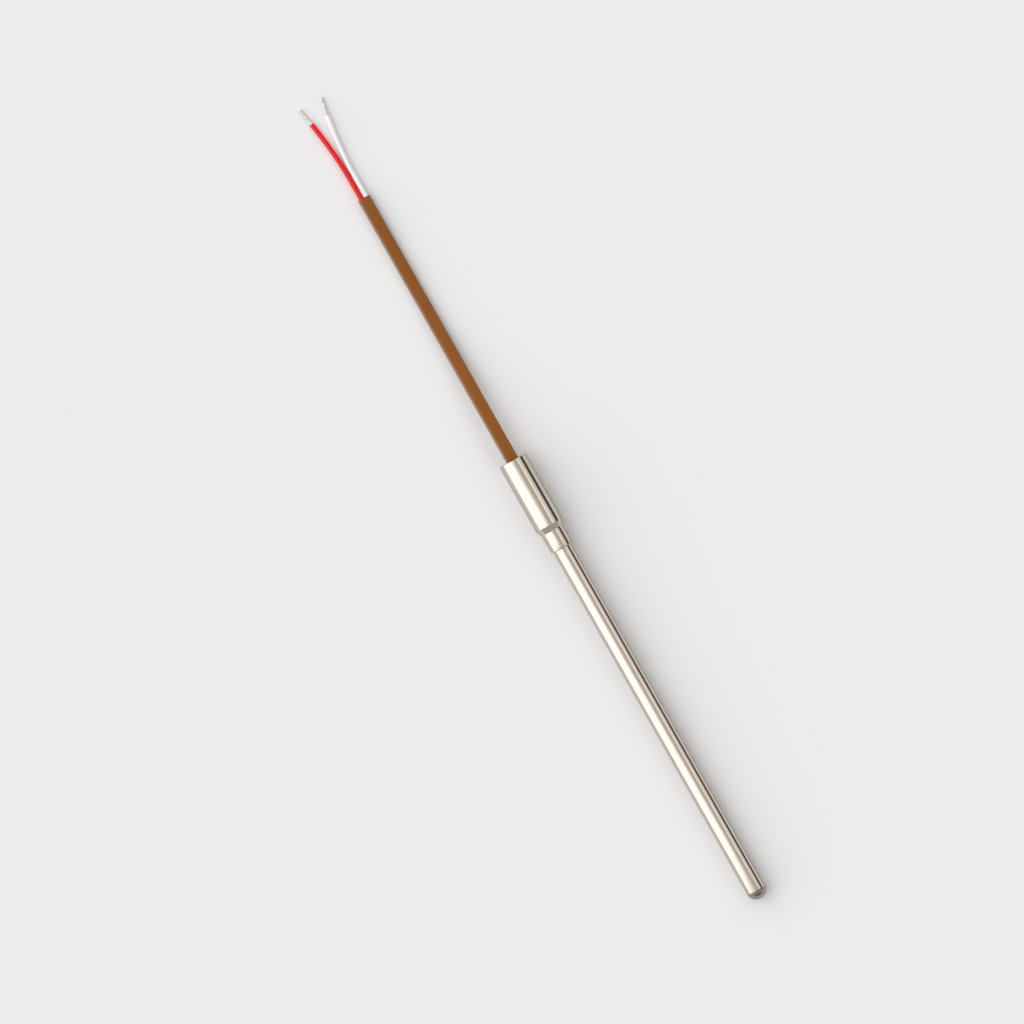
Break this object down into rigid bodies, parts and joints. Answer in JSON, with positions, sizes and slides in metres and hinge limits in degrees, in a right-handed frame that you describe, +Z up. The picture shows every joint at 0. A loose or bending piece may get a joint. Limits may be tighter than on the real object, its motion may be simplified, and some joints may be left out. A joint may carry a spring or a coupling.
{
  "type": "thermocouple probe",
  "caption": "Straight polished steel sheathed thermocouple probe with a domed tip, stepped transition sleeve and a brown flat twin cable ending in red and white cores with bare conductors.",
  "frame": {"origin": "on the surface it lies on, midway along the rigid probe, which rests on its sleeve and on its sheath's front edge", "axes": "+X along the probe towards the sensing tip, +Y towards the white core's side, +Z up"},
  "size_m": [0.2725, 0.0088, 0.0092],
  "materials": {
    "steel": "polished",
    "oxide": "matte",
    "iron": "satin",
    "constantan": "satin",
    "weld_metal": "matte",
    "sealing_resin": "gloss",
    "potting_resin": "satin",
    "tinned_copper": "satin",
    "joint_cover_plastic": "satin",
    "brown_plastic": "satin",
    "red_plastic": "gloss",
    "white_plastic": "gloss"
  },
  "bodies": {
    "root": {"transition_sleeve": "steel", "sheath_tube": "steel", "tip_cap": "steel", "mineral_insulation": "oxide", "junction_packing": "oxide", "end_seal": "sealing_resin", "hot_junction": "weld_metal", "positive_element": "iron", "negative_element": "constantan", "positive_ferrule": "tinned_copper", "negative_ferrule": "tinned_copper", "positive_joint_cover": "joint_cover_plastic", "negative_joint_cover": "joint_cover_plastic", "potting_compound": "potting_resin", "cable_jacket": "brown_plastic", "white_core": "white_plastic", "red_core": "red_plastic", "white_conductor": "iron", "red_conductor": "constantan"}
  },
  "joints": []
}
